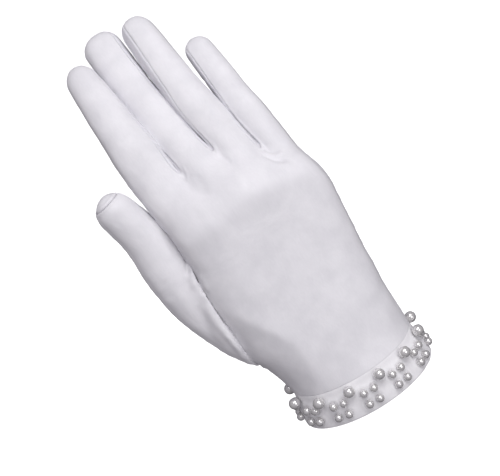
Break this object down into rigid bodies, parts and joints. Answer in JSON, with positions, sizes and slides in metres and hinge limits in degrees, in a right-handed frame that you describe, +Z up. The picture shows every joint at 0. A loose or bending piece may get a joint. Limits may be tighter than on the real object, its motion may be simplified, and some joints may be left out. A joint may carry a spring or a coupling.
{
  "type": "wrist length dress glove",
  "caption": "Right-hand wrist length dress glove of stretch satin with a turned hem trimmed with imitation pearls, in its worn shape.",
  "frame": {"origin": "centre of the cuff opening, in the plane of the hem's lower edge", "axes": "+Z up the cuff towards the fingertips, -Y the way the back of the hand faces, -X the thumb side"},
  "size_m": [0.1025, 0.0993, 0.1994],
  "materials": {
    "satin": "white stretch satin with a soft sheen and a cool violet-grey shade",
    "satin_side": "the same satin, cut along the other grain, between the fingers",
    "pearl": "silver-white imitation pearl with a high gloss"
  },
  "bodies": {
    "root": {"back_panel": "satin", "palm_panel": "satin", "thumb_back": "satin", "thumb_palm": "satin", "pearled_hem": "satin", "fourchette_index_middle": "satin_side", "fourchette_middle_ring": "satin_side", "fourchette_ring_little": "satin_side", "large_pearl_01": "pearl", "large_pearl_02": "pearl", "large_pearl_03": "pearl", "large_pearl_04": "pearl", "large_pearl_05": "pearl", "large_pearl_06": "pearl", "large_pearl_07": "pearl", "large_pearl_08": "pearl", "large_pearl_09": "pearl", "large_pearl_10": "pearl", "large_pearl_11": "pearl", "large_pearl_12": "pearl"}
  },
  "joints": []
}
